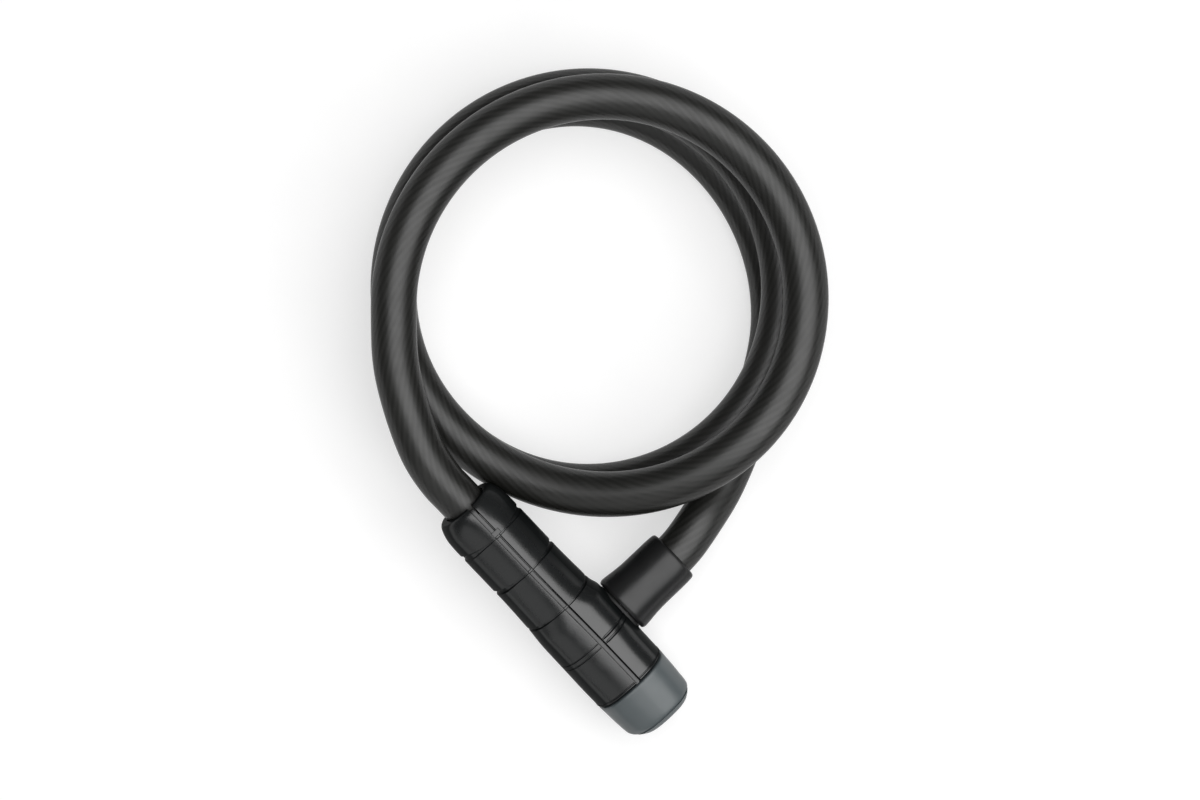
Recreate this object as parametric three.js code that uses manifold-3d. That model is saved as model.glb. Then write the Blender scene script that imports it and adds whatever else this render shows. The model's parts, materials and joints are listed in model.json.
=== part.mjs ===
// A keyed cable lock for a bicycle, lying coiled on a level surface.
// A thick sheathed steel cable, 1.2 m long, is anchored in one end of a tubular lock body.
// Its other end carries a ferrule whose bolt plugs into a socket in the side of that body.
// Units are millimetres, +Z is up, and the surface under the lock is the plane z = 0.
// The origin is the middle of the footprint of the lock body and its ferrule.

import * as THREE from 'three';
import { mergeVertices } from 'three/addons/utils/BufferGeometryUtils.js';
import Module from 'manifold-3d';

const wasm = await Module();
wasm.setup();

// ---------------------------------------------------------------- driving dimensions

const CLEAR = 0.3;                    // gap between pieces that seat on each other
const ROUND = 48;                     // facets round the casing, the cap and the ferrule
const INNER_ROUND = 32;               // facets round the large pieces inside
const SMALL_ROUND = 20;               // facets round the small pieces inside

// Where the lock body lies. Its own frame has x along the body from the cable end to the
// key end, y out through the ferrule socket, and z up.
const BODY_YAW = 47.1;                // body axis below the X axis, seen from above, degrees
const BODY_PITCH = 12.5;              // key end lies low, cable end is lifted, degrees
const BODY_ROLL = 3;                  // the socket looks down by this much, degrees
const CABLE_END = new THREE.Vector2(-44.48, -70.28);   // cable end of the body, from the coil's middle

// Casing: two moulded half shells round the body
const CASING_LENGTH = 81;
const SOCKET_AT = CASING_LENGTH - 19.45;             // bolt axis along the body
const FIRST_GROOVE = 12.6;
const GROOVE_PITCH = (SOCKET_AT - FIRST_GROOVE) / 3;
const SECOND_GROOVE = FIRST_GROOVE + GROOVE_PITCH;
const THIRD_GROOVE = SECOND_GROOVE + GROOVE_PITCH;
const GROOVES = [                     // rings pressed round the casing: [along, width, depth]
  [FIRST_GROOVE, 2, 0.7], [SECOND_GROOVE, 1.8, 0.9], [THIRD_GROOVE, 1.8, 0.9],
  [SOCKET_AT + 0.25, 0.8, 0.5], [SOCKET_AT + 1.95, 0.8, 0.5],
];
const CASING_OUTLINE = [              // [along the body, outer radius]
  [0, 10], [0.6, 10.8], [1.8, 11.4], [3.6, 11.95], [6, 12.4], [FIRST_GROOVE, 12.55],
  [SECOND_GROOVE, 12.55], [THIRD_GROOVE - 6, 12.7], [THIRD_GROOVE, 12.95],
  [SOCKET_AT - 9.5, 13.5], [SOCKET_AT - 1.5, 13.7], [SOCKET_AT + 9, 13.9], [CASING_LENGTH, 13.85],
];
const GROOVE_FLANK = 0.3;             // length of a groove's sloping side
const FLARE = 0.75;                   // extra radius of the casing on the socket's side
const FLARE_REACH = 4.5;               // the flare dies away over this length past the boss
const CASING_END_WALL = 3;            // thickness of the wall that the cable enters through
const NARROW_BORE = 9.9;              // inner radius of the casing, cable half
const WIDE_BORE = 10.9;               // inner radius of the casing, lock half
const CORE_START = SOCKET_AT - 24.3;  // cable end of the lock's core
const BORE_STEP = CORE_START - 2;     // where the narrow bore widens
const SEAM_WIDTH = 1.9;               // open seam between the half shells
const SEAM_ROLL = 4;                  // the seam leans towards the socket, degrees

// Carrier: the tube that the half shells are laid on, with a spine in each seam
const CARRIER_WALL = 1;
const CARRIER_REACH = 2.6;            // how far the carrier runs on into the cap
const SPINE_SUNK = 0.25;              // the spine's top lies this far under the shells

// Cable
const CABLE_RADIUS = 7.5;
const CABLE_SIDES = 12;
const CABLE_SEAT = 4;                 // the cable runs this far into the body and the ferrule
const STRAND_RADIUS = 4.3;            // the steel strand bared of its sheath

// Anchor: the crimp that holds the cable in the body
const ANCHOR_LENGTH = CORE_START - 7;
const STRAND_LENGTH = ANCHOR_LENGTH - 5;             // bared strand that the crimp holds
const ANCHOR_NECK_RADIUS = 5.5;
const ANCHOR_NECK = 9;
const ANCHOR_CRIMPS = 3;              // rings pressed into the crimp
const CRIMP_WIDTH = 3;
const CRIMP_DEPTH = 0.7;
const ANCHOR_PIN_RADIUS = 1.5;

// Core: the die-cast housing of the lock
const CORE_END = CASING_LENGTH - 1;
const SNOUT_RADIUS = 8.2;             // the narrower end that reaches into the cap

// Socket and bolt
const BOLT_RADIUS = 4;
const BOLT_NOSE = -6.5;               // tip of the bolt, past the body's axis
const BOLT_TAPER = 2.2;
const BOLT_NOSE_RADIUS = 2.4;
const BOLT_GROOVE_AT = -1.5;
const BOLT_GROOVE_WIDTH = 3.4;
const BOLT_GROOVE_RADIUS = 2.3;
const BOLT_SHANK_END = 24;            // how far the bolt runs into the ferrule
const BOSS_RADIUS = 10.2;             // round boss of the casing that meets the ferrule
const BOSS_TOP = 14.1;
const SOCKET_RADIUS = 7.3;            // hole through the boss
const CORE_BOSS_TOP = 11;
const SEAL_INNER = 4.5;

// Plug, wafers and latch
const PLUG_RADIUS = 5;
const PLUG_START = SOCKET_AT + 8.6;
const PLUG_END = PLUG_START + 23;
const SNOUT_END = PLUG_END + 2;
const KEYWAY_WIDTH = 2.2;
const KEYWAY_HEIGHT = 7.4;
const WAFERS = 5;
const WAFER_FIRST = PLUG_START + 4.6;
const WAFER_PITCH = 3.6;
const WAFER_THICKNESS = 1;
const WAFER_WIDTH = 5.4;
const WAFER_TRAVEL = 0.8;             // a wafer stands out this far when the key is drawn
const CAM_THROW = 2.1;                // eccentricity of the pin on the plug's tail
const CAM_PIN_RADIUS = 1;
const CAM_OPEN = -45;                 // angle of the pin when the lock is open, degrees
const LATCH_START = SOCKET_AT + 4.45; // the latch plate's face towards the bolt
const LATCH_THICKNESS = 2.4;
const LATCH_WIDTH = 8;
const LATCH_FOOT = -8;                // lower end of the latch when the lock is open
const LATCH_HEAD = 1.2;               // upper end of the latch when the lock is open
const BLADE_REACH = 1.8;              // how far the blade stands towards the bolt
const BLADE_WIDTH = 2.8;
const BLADE_TIP = -3.4;               // top of the blade when the lock is open
const CLIP_THICKNESS = 0.9;
const CLIP_INNER = 4.1;
const CLIP_OUTER = 6.1;
const CLIP_OPENING = 70;              // open part of the snap ring, degrees

// Cap on the key end
const CAP_START = CASING_LENGTH + 0.4;
const BODY_END = CAP_START + 17.1;
const CAP_OUTLINE = [                 // [along the body, radius, shift towards the socket]
  [CAP_START, 13.8, 0], [CAP_START + 4.6, 13.65, 0], [BODY_END - 6.5, 13.3, 0],
  [BODY_END - 4.3, 13.1, 0.1], [BODY_END - 2.9, 12.55, 0.33], [BODY_END - 1.5, 11.5, 0.52],
  [BODY_END - 0.5, 10.4, 0.55], [BODY_END, 10, 0.5],
];
const CAP_END_WALL = 0.9;             // wall behind the keyhole cover
const COVER_RADIUS = 6;
const COVER_THICKNESS = 1.5;
const COVER_HUB = 4.9;
const COVER_HUB_BORE = 3.9;
const COVER_RECESS = 1.9;

// Ferrule on the free end of the cable, measured along the bolt from the body's axis
const FERRULE_START = 14.5;
const FERRULE_END = 39;
const FERRULE_OUTLINE = [             // [along the bolt, outer radius]
  [FERRULE_START, 9.5], [FERRULE_START + 0.35, 10.15], [FERRULE_START + 1.3, 10.5],
  [FERRULE_START + 3.5, 10.35], [FERRULE_START + 6.5, 10], [FERRULE_START + 9.5, 9.8],
  [FERRULE_END - 4.5, 9.75], [FERRULE_END - 1.3, 9.6], [FERRULE_END - 0.4, 9.1], [FERRULE_END, 8.5],
];
const FERRULE_WALL = 1.2;
const FERRULE_CORE_RADIUS = 7.2;
const FERRULE_PIN_RADIUS = 1.2;
const FERRULE_PIN_AT = 20;

// Coil: three turns piled on each other. Each is a circle of its own that grows as it runs on,
// drawn out of round by oval along the X axis and by lean along the diagonal.
// Angles run clockwise seen from above, from the X axis, on past 360 degrees.
const TURNS = [
  { x: 1.5, y: -4.44, radius: 66.84, growth: -6.09, middle: 300, oval: -0.14, lean: -0.34 },
  { x: -3.64, y: 0.73, radius: 65.09, growth: -0.8, middle: 640, oval: -0.47, lean: 0.12 },
  { x: -5.87, y: -3.47, radius: 65.16, growth: -0.66, middle: 1040, oval: -1.32, lean: 1.45 },
];
const TURN_BLENDS = [[380, 520], [780, 980]];        // where a turn passes into the next
const CLIMBS = [[398, 490], [758, 850]];             // where it drops by one layer
const LAYER_STEP = 15.75;
const COIL_START = 172;
const COIL_END = 1104;
const STEPS_PER_TURN = 36;
const STEPS_TO_LEAD = 3;              // the ferrule's lead begins this many steps before the coil ends
const LEAD_STEP = 8;                  // spacing of the rings along the leads
const LOCK_EXIT = [5.5, 11];          // the cable runs straight out of the body to these lengths
const LOCK_LEAD = [                   // points of the free cable between the body and the coil
  [-58.2, -52.3, 37.2], [-66.1, -27, 39],
];
const FERRULE_LEAD = [                // and between the coil and the ferrule
  [52, -37.5, 7.4], [46.1, -52.5, 7.9],
];
const FERRULE_APPROACH = [            // the last points, from the ferrule's end in its own frame
  [26.35, 3.9, -6.19], [14.48, 1.9, -1.83], [5, 0.35, -0.25],
];
const ROUTE_DIVISIONS = 4000;
const SURFACE_TO_CORE = CABLE_RADIUS * Math.cos(Math.PI / CABLE_SIDES);

// ---------------------------------------------------------------- materials

const material = (color, roughness, metalness) =>
  new THREE.MeshStandardMaterial({ color, roughness, metalness });

const SHELL_PLASTIC = material(0x17181a, 0.42, 0);
const CARRIER_PLASTIC = material(0x1b1c1e, 0.4, 0);
const CAP_PLASTIC = material(0x4b5459, 0.45, 0);
const SHEATH = material(0x26282a, 0.35, 0);
const FERRULE_PLASTIC = material(0x232527, 0.45, 0);
const ZINC = material(0x8d9093, 0.5, 0.9);
const STEEL = material(0xb4b7ba, 0.3, 1);
const BRASS = material(0xb08d4a, 0.35, 1);
const RUBBER = material(0x121212, 0.8, 0);

// ---------------------------------------------------------------- solids

function signedVolume(geometry) {
  const place = geometry.attributes.position;
  const index = geometry.index.array;
  const a = new THREE.Vector3();
  const b = new THREE.Vector3();
  const c = new THREE.Vector3();
  let volume = 0;
  for (let i = 0; i < index.length; i += 3) {
    a.fromBufferAttribute(place, index[i]);
    b.fromBufferAttribute(place, index[i + 1]);
    c.fromBufferAttribute(place, index[i + 2]);
    volume += a.dot(b.cross(c)) / 6;
  }
  return volume;
}

// One closed skin: shared vertices, no empty triangles, faces looking outwards.
function closed(geometry) {
  const bare = new THREE.BufferGeometry();
  bare.setAttribute('position', geometry.attributes.position.clone());
  if (geometry.index) bare.setIndex(geometry.index.clone());
  const merged = mergeVertices(bare, 1e-4);
  const source = merged.index.array;
  const kept = [];
  for (let i = 0; i < source.length; i += 3) {
    const [a, b, c] = [source[i], source[i + 1], source[i + 2]];
    if (a !== b && b !== c && c !== a) kept.push(a, b, c);
  }
  merged.setIndex(kept);
  if (signedVolume(merged) < 0) {
    for (let i = 0; i < kept.length; i += 3) [kept[i], kept[i + 1]] = [kept[i + 1], kept[i]];
    merged.setIndex(kept);
  }
  return merged;
}

function toManifold(geometry) {
  const skin = closed(geometry);
  return new wasm.Manifold(new wasm.Mesh({
    numProp: 3,
    vertProperties: Float32Array.from(skin.attributes.position.array),
    triVerts: Uint32Array.from(skin.index.array),
  }));
}

function toGeometry(solid) {
  const mesh = solid.getMesh();
  const geometry = new THREE.BufferGeometry();
  geometry.setAttribute('position', new THREE.BufferAttribute(mesh.vertProperties, 3));
  geometry.setIndex(new THREE.BufferAttribute(mesh.triVerts, 1));
  return geometry;
}

const cut = (base, ...tools) =>
  toGeometry(tools.reduce((solid, tool) => solid.subtract(toManifold(tool)), toManifold(base)));

const join = (base, ...others) =>
  toGeometry(others.reduce((solid, other) => solid.add(toManifold(other)), toManifold(base)));

const common = (base, other) => toGeometry(toManifold(base).intersect(toManifold(other)));

// A solid turned about the x axis, from [along, radius] points that close on the axis.
function turned(profile, sides = INNER_ROUND) {
  const points = profile.map(([along, radius]) => new THREE.Vector2(radius, along));
  const geometry = new THREE.LatheGeometry(points, sides);
  return geometry.rotateZ(-Math.PI / 2);
}

const rod = (start, end, radius, sides = INNER_ROUND) =>
  turned([[start, 0], [start, radius], [end, radius], [end, 0]], sides);

// A rod across the body: axis 'y' points out of the socket and 'z' points up.
function crossRod(axis, along, start, end, radius, sides = SMALL_ROUND) {
  const geometry = rod(start, end, radius, sides);
  if (axis === 'y') geometry.rotateZ(Math.PI / 2);
  else geometry.rotateY(-Math.PI / 2);
  return geometry.translate(along, 0, 0);
}

const block = ([x0, x1], [y0, y1], [z0, z1]) =>
  new THREE.BoxGeometry(x1 - x0, y1 - y0, z1 - z0)
    .translate((x0 + x1) / 2, (y0 + y1) / 2, (z0 + z1) / 2);

// A skin over rings of points, closed by a flat end at each side.
function skinOver(rings) {
  const sides = rings[0].length;
  const positions = rings.flat().flatMap((point) => point.toArray());
  const faces = [];
  for (let ring = 0; ring < rings.length - 1; ring += 1) {
    for (let side = 0; side < sides; side += 1) {
      const next = (side + 1) % sides;
      const [a, b] = [ring * sides + side, ring * sides + next];
      const [c, d] = [a + sides, b + sides];
      faces.push(a, b, d, a, d, c);
    }
  }
  for (const [ring, flip] of [[0, true], [rings.length - 1, false]]) {
    for (let side = 1; side < sides - 1; side += 1) {
      const fan = [ring * sides, ring * sides + side, ring * sides + side + 1];
      if (flip) fan.reverse();
      faces.push(...fan);
    }
  }
  const geometry = new THREE.BufferGeometry();
  geometry.setAttribute('position', new THREE.Float32BufferAttribute(positions, 3));
  geometry.setIndex(faces);
  return geometry;
}

function along(outline, at, column = 1) {
  const upper = outline.findIndex((point) => point[0] >= at);
  if (upper === 0) return outline[0][column];
  const [before, after] = [outline[upper - 1], outline[upper]];
  const share = (at - before[0]) / (after[0] - before[0]);
  return before[column] + share * (after[column] - before[column]);
}

const degrees = (value) => THREE.MathUtils.degToRad(value);

// ---------------------------------------------------------------- lock body

const smoothTop = (at) => along(CASING_OUTLINE, at);

// The flare swells towards the socket and stays under the flat top of the boss.
function casingRadius(at, angle, sunk) {
  const facing = Math.max(0.01, Math.cos(angle));
  const past = Math.abs(at - SOCKET_AT) - BOSS_RADIUS;
  const share = 1 - THREE.MathUtils.smoothstep(past, 0, FLARE_REACH);
  const flared = smoothTop(at) + FLARE * share * facing ** 2;
  return Math.min(flared, BOSS_TOP / facing) - sunk;
}

function casingOuter() {
  const stations = CASING_OUTLINE.map(([at]) => [at, 0]);
  for (const [at, width, depth] of GROOVES) {
    const half = width / 2;
    stations.push([at - half, 0], [at - half + GROOVE_FLANK, depth]);
    stations.push([at + half - GROOVE_FLANK, depth], [at + half, 0]);
  }
  const inGroove = ([at, sunk]) =>
    sunk === 0 && GROOVES.some(([middle, width]) => Math.abs(at - middle) < width / 2 - 0.01);
  const ordered = stations.filter((station) => !inGroove(station)).sort((a, b) => a[0] - b[0]);
  const rings = ordered.map(([at, sunk]) => Array.from({ length: ROUND }, (_, side) => {
    const angle = (2 * Math.PI * side) / ROUND;
    const radius = casingRadius(at, angle, sunk);
    return new THREE.Vector3(at, radius * Math.cos(angle), radius * Math.sin(angle));
  }));
  return skinOver(rings);
}

function makeCasing() {
  const boss = crossRod('y', SOCKET_AT, WIDE_BORE - 3, BOSS_TOP, BOSS_RADIUS, ROUND);
  const inside = turned([
    [-1, 0], [-1, CABLE_RADIUS + CLEAR + 0.05],
    [CASING_END_WALL, CABLE_RADIUS + CLEAR + 0.05], [CASING_END_WALL, NARROW_BORE],
    [BORE_STEP, NARROW_BORE], [BORE_STEP, WIDE_BORE],
    [CASING_LENGTH + 1, WIDE_BORE], [CASING_LENGTH + 1, 0],
  ], ROUND);
  const socket = crossRod('y', SOCKET_AT, 0, BOSS_TOP + 1, SOCKET_RADIUS);
  const shell = cut(join(casingOuter(), boss), inside, socket);
  const large = 60;
  const half = (side) => {
    const keep = block([-2, CASING_LENGTH + 2], [SEAM_WIDTH / 2, large], [-large, large]);
    if (side < 0) keep.rotateX(Math.PI);
    return common(shell, keep.rotateX(-degrees(SEAM_ROLL)));
  };
  return { left: half(-1), right: half(1) };
}

const NARROW_CARRIER = NARROW_BORE - CLEAR;
const WIDE_CARRIER = WIDE_BORE - CLEAR;
const CARRIER_START = CASING_END_WALL + CLEAR;
const CARRIER_END = CASING_LENGTH + CARRIER_REACH;

function spine() {
  const outline = new THREE.Shape();
  const low = NARROW_CARRIER - CARRIER_WALL / 2;
  const stations = CASING_OUTLINE.map(([at]) => at).filter((at) => at > CARRIER_START);
  outline.moveTo(CARRIER_START, low);
  outline.lineTo(CARRIER_START, smoothTop(CARRIER_START) - SPINE_SUNK);
  for (const at of stations) outline.lineTo(at, smoothTop(at) - SPINE_SUNK);
  outline.lineTo(CASING_LENGTH, low);
  outline.closePath();
  const width = SEAM_WIDTH - 2 * CLEAR;
  const strip = new THREE.ExtrudeGeometry(outline, { depth: width, bevelEnabled: false });
  return strip.translate(0, 0, -width / 2).rotateX(Math.PI / 2);
}

function makeCarrier() {
  const outer = turned([
    [CARRIER_START, 0], [CARRIER_START, NARROW_CARRIER],
    [BORE_STEP + CLEAR, NARROW_CARRIER], [BORE_STEP + CLEAR, WIDE_CARRIER],
    [CARRIER_END, WIDE_CARRIER], [CARRIER_END, 0],
  ]);
  const boreStep = BORE_STEP + CLEAR + CARRIER_WALL;
  const bore = turned([
    [0, 0], [0, NARROW_CARRIER - CARRIER_WALL],
    [boreStep, NARROW_CARRIER - CARRIER_WALL], [boreStep, WIDE_CARRIER - CARRIER_WALL],
    [CARRIER_END + 1, WIDE_CARRIER - CARRIER_WALL], [CARRIER_END + 1, 0],
  ]);
  const upper = spine().rotateX(-degrees(SEAM_ROLL));
  const lower = spine().rotateX(Math.PI - degrees(SEAM_ROLL));
  const socket = crossRod('y', SOCKET_AT, 0, BOSS_TOP, SOCKET_RADIUS);
  return cut(join(outer, upper, lower), bore, socket);
}

const ANCHOR_START = CABLE_SEAT + CLEAR;
const ANCHOR_RADIUS = NARROW_CARRIER - CARRIER_WALL - CLEAR;
const ANCHOR_SHOULDER = ANCHOR_START + ANCHOR_LENGTH;
const ANCHOR_PIN_AT = CORE_START + ANCHOR_NECK / 2 + 1;

function makeAnchor() {
  const profile = [[ANCHOR_START, 0], [ANCHOR_START, ANCHOR_RADIUS]];
  const pitch = ANCHOR_LENGTH / (ANCHOR_CRIMPS + 1);
  for (let crimp = 1; crimp <= ANCHOR_CRIMPS; crimp += 1) {
    const middle = ANCHOR_START + crimp * pitch;
    profile.push([middle - CRIMP_WIDTH / 2, ANCHOR_RADIUS]);
    profile.push([middle - CRIMP_WIDTH / 4, ANCHOR_RADIUS - CRIMP_DEPTH]);
    profile.push([middle + CRIMP_WIDTH / 4, ANCHOR_RADIUS - CRIMP_DEPTH]);
    profile.push([middle + CRIMP_WIDTH / 2, ANCHOR_RADIUS]);
  }
  const neckEnd = CORE_START + ANCHOR_NECK;
  profile.push([ANCHOR_SHOULDER, ANCHOR_RADIUS], [ANCHOR_SHOULDER, ANCHOR_NECK_RADIUS]);
  profile.push([neckEnd, ANCHOR_NECK_RADIUS], [neckEnd, 0]);
  const strandBore = rod(0, ANCHOR_START + STRAND_LENGTH + CLEAR, STRAND_RADIUS + CLEAR, SMALL_ROUND);
  const pinHole = crossRod('z', ANCHOR_PIN_AT, -20, 20, ANCHOR_PIN_RADIUS + CLEAR);
  return cut(turned(profile), strandBore, pinHole);
}

const CORE_RADIUS = WIDE_CARRIER - CARRIER_WALL - CLEAR;
const LATCH_END = LATCH_START + LATCH_THICKNESS;
const LATCH_TRAVEL = 2 * CAM_THROW * Math.sin(degrees(-CAM_OPEN));
const LATCH_CHANNEL = [LATCH_START - BLADE_REACH - CLEAR, LATCH_END + CLEAR];
const GUIDE = [-LATCH_WIDTH / 2 - CLEAR, LATCH_WIDTH / 2 + CLEAR];
const CLIP_AT = PLUG_END + CLEAR;

function makeCore() {
  const body = turned([
    [CORE_START, 0], [CORE_START, CORE_RADIUS], [CORE_END, CORE_RADIUS],
    [CORE_END, SNOUT_RADIUS], [SNOUT_END + 1, SNOUT_RADIUS], [SNOUT_END + 1, 0],
  ]);
  const trimmed = cut(body, rod(SNOUT_END, SNOUT_END + 2, SNOUT_RADIUS + 1));
  const boss = crossRod('y', SOCKET_AT, 0, CORE_BOSS_TOP, SOCKET_RADIUS - CLEAR);
  const neckBore = rod(CORE_START - 1, CORE_START + ANCHOR_NECK + CLEAR, ANCHOR_NECK_RADIUS + CLEAR);
  const pinHole = crossRod('z', ANCHOR_PIN_AT, -20, 20, ANCHOR_PIN_RADIUS + CLEAR);
  const boltBore = crossRod('y', SOCKET_AT, BOLT_NOSE - 1, BOSS_TOP, BOLT_RADIUS + CLEAR);
  const plugBore = rod(PLUG_START - CLEAR, SNOUT_END + 1, PLUG_RADIUS + CLEAR);
  const clipGroove = rod(CLIP_AT - 0.1, CLIP_AT + CLIP_THICKNESS + 0.1, CLIP_OUTER + 0.2);
  const camRoom = rod(LATCH_END, PLUG_START, CAM_THROW + CAM_PIN_RADIUS + CLEAR, SMALL_ROUND);
  const head = LATCH_HEAD + LATCH_TRAVEL + CLEAR;
  const guide = block(LATCH_CHANNEL, GUIDE, [-CORE_RADIUS - 1, head]);
  const waferTop = PLUG_RADIUS + WAFER_TRAVEL + CLEAR;
  const waferHalf = WAFER_WIDTH / 2 + CLEAR;
  const waferRun = [
    WAFER_FIRST - WAFER_PITCH / 2, WAFER_FIRST + (WAFERS - 0.5) * WAFER_PITCH,
  ];
  const openGroove = block(waferRun, [0, waferTop], [-waferHalf, waferHalf]);
  const lockedGroove = block(waferRun, [-waferHalf, waferHalf], [0, waferTop]);
  return cut(
    join(trimmed, boss), neckBore, pinHole, boltBore, plugBore, clipGroove, camRoom, guide,
    openGroove, lockedGroove,
  );
}

function makeLatchCover() {
  const [start, end] = LATCH_CHANNEL;
  const slab = block(
    [start + CLEAR, end - CLEAR], [-LATCH_WIDTH / 2, LATCH_WIDTH / 2],
    [-CORE_RADIUS - 1, LATCH_FOOT - CLEAR],
  );
  return common(slab, rod(CORE_START, CORE_END, CORE_RADIUS));
}

// The plug is drawn with the lock open: the keyway lies level, its pin points down and out.
function makePlug() {
  const barrel = rod(PLUG_START, PLUG_END, PLUG_RADIUS);
  const pin = rod(LATCH_START + CLEAR, PLUG_START + 1, CAM_PIN_RADIUS, SMALL_ROUND)
    .translate(0, CAM_THROW, 0).rotateX(degrees(CAM_OPEN));
  const keyway = block(
    [PLUG_START + 2, PLUG_END + 1],
    [-KEYWAY_HEIGHT / 2, KEYWAY_HEIGHT / 2], [-KEYWAY_WIDTH / 2, KEYWAY_WIDTH / 2],
  );
  const slots = waferPlaces().map((at) => block(
    [at - WAFER_THICKNESS / 2 - CLEAR / 2, at + WAFER_THICKNESS / 2 + CLEAR / 2],
    [-PLUG_RADIUS - 1, PLUG_RADIUS + 1], [-WAFER_WIDTH / 2 - CLEAR / 2, WAFER_WIDTH / 2 + CLEAR / 2],
  ));
  return cut(join(barrel, pin), keyway, ...slots);
}

const waferPlaces = () => Array.from({ length: WAFERS }, (_, i) => WAFER_FIRST + i * WAFER_PITCH);

function makeWafer(at) {
  const [start, end] = [at - WAFER_THICKNESS / 2, at + WAFER_THICKNESS / 2];
  const disc = rod(start, end, PLUG_RADIUS - 0.1);
  const half = WAFER_WIDTH / 2;
  const plate = common(disc, block([start - 1, end + 1], [-20, 20], [-half, half]));
  const window = block(
    [start - 1, end + 1],
    [-KEYWAY_HEIGHT / 2 + 0.6, KEYWAY_HEIGHT / 2 - 0.2], [-KEYWAY_WIDTH / 2, KEYWAY_WIDTH / 2],
  );
  return cut(plate, window);
}

// The latch stands beside the bolt. Its blade enters the bolt's groove when it is lifted.
function makeLatch() {
  const plate = block(
    [LATCH_START, LATCH_END], [-LATCH_WIDTH / 2, LATCH_WIDTH / 2], [LATCH_FOOT, LATCH_HEAD],
  );
  const blade = block(
    [LATCH_START - BLADE_REACH, LATCH_START + 1],
    [BOLT_GROOVE_AT - BLADE_WIDTH / 2, BOLT_GROOVE_AT + BLADE_WIDTH / 2], [LATCH_FOOT, BLADE_TIP],
  );
  const play = CAM_PIN_RADIUS + 0.35;
  const low = CAM_THROW * Math.sin(degrees(CAM_OPEN));
  const near = CAM_THROW * Math.cos(degrees(CAM_OPEN));
  const camSlot = block(
    [LATCH_START - 1, LATCH_END + 1], [near - play, CAM_THROW + play], [low - play, low + play],
  );
  return cut(join(plate, blade), camSlot);
}

function makeClip() {
  const shape = new THREE.Shape();
  const half = degrees(CLIP_OPENING / 2);
  shape.absarc(0, 0, CLIP_OUTER, half, 2 * Math.PI - half, false);
  shape.absarc(0, 0, CLIP_INNER, 2 * Math.PI - half, half, true);
  shape.closePath();
  const ring = new THREE.ExtrudeGeometry(shape, {
    depth: CLIP_THICKNESS, bevelEnabled: false, curveSegments: SMALL_ROUND,
  });
  return ring.rotateY(Math.PI / 2).translate(CLIP_AT, 0, 0);
}

function makeCap() {
  const rings = CAP_OUTLINE.map(([at, radius, shift]) =>
    Array.from({ length: ROUND }, (_, side) => {
      const angle = (2 * Math.PI * side) / ROUND;
      return new THREE.Vector3(at, shift + radius * Math.cos(angle), radius * Math.sin(angle));
    }));
  const recessFloor = BODY_END - COVER_RECESS;
  const inside = turned([
    [CAP_START - 1, 0], [CAP_START - 1, WIDE_CARRIER + CLEAR],
    [CARRIER_END + CLEAR, WIDE_CARRIER + CLEAR], [CARRIER_END + CLEAR, SNOUT_RADIUS + CLEAR],
    [recessFloor - CAP_END_WALL, SNOUT_RADIUS + CLEAR],
    [recessFloor - CAP_END_WALL, COVER_HUB + CLEAR],
    [recessFloor, COVER_HUB + CLEAR], [recessFloor, COVER_RADIUS + CLEAR],
    [BODY_END + 1, COVER_RADIUS + CLEAR], [BODY_END + 1, 0],
  ], ROUND);
  return cut(skinOver(rings), inside);
}

const COVER_START = BODY_END - COVER_RECESS + CLEAR;

function makeKeyholeCover() {
  const disc = rod(COVER_START, COVER_START + COVER_THICKNESS, COVER_RADIUS);
  const hubEnd = CLIP_AT + CLIP_THICKNESS + CLEAR;
  const hub = rod(hubEnd, COVER_START + 0.5, COVER_HUB);
  const bore = rod(hubEnd - 1, COVER_START + 0.4, COVER_HUB_BORE, SMALL_ROUND);
  const slot = block(
    [hubEnd, BODY_END + 1],
    [-KEYWAY_WIDTH / 2 - 0.1, KEYWAY_WIDTH / 2 + 0.1], [-KEYWAY_HEIGHT / 2, KEYWAY_HEIGHT / 2],
  );
  return cut(join(disc, hub), bore, slot);
}

function makeSeal() {
  const [start, end] = [CORE_BOSS_TOP + CLEAR, BOSS_TOP - CLEAR];
  const lip = (end - start) / 4;
  const ring = turned([
    [start, SEAL_INNER + lip], [start, SOCKET_RADIUS - CLEAR], [end, SOCKET_RADIUS - CLEAR],
    [end, SEAL_INNER + lip], [end - lip, SEAL_INNER], [start + lip, SEAL_INNER],
    [start, SEAL_INNER + lip],
  ], SMALL_ROUND);
  return ring;
}

// ---------------------------------------------------------------- ferrule

function makeBolt() {
  const half = BOLT_GROOVE_WIDTH / 2;
  const bolt = turned([
    [BOLT_NOSE, 0], [BOLT_NOSE, BOLT_NOSE_RADIUS], [BOLT_NOSE + BOLT_TAPER, BOLT_RADIUS],
    [BOLT_GROOVE_AT - half, BOLT_RADIUS], [BOLT_GROOVE_AT - half, BOLT_GROOVE_RADIUS],
    [BOLT_GROOVE_AT + half, BOLT_GROOVE_RADIUS], [BOLT_GROOVE_AT + half, BOLT_RADIUS],
    [BOLT_SHANK_END, BOLT_RADIUS], [BOLT_SHANK_END, 0],
  ], SMALL_ROUND);
  return cut(bolt, crossRod('z', FERRULE_PIN_AT, -20, 20, FERRULE_PIN_RADIUS + CLEAR));
}

const FERRULE_FLOOR = FERRULE_START + FERRULE_WALL;
const FERRULE_MOUTH = FERRULE_END - CABLE_SEAT + 1;

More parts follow.
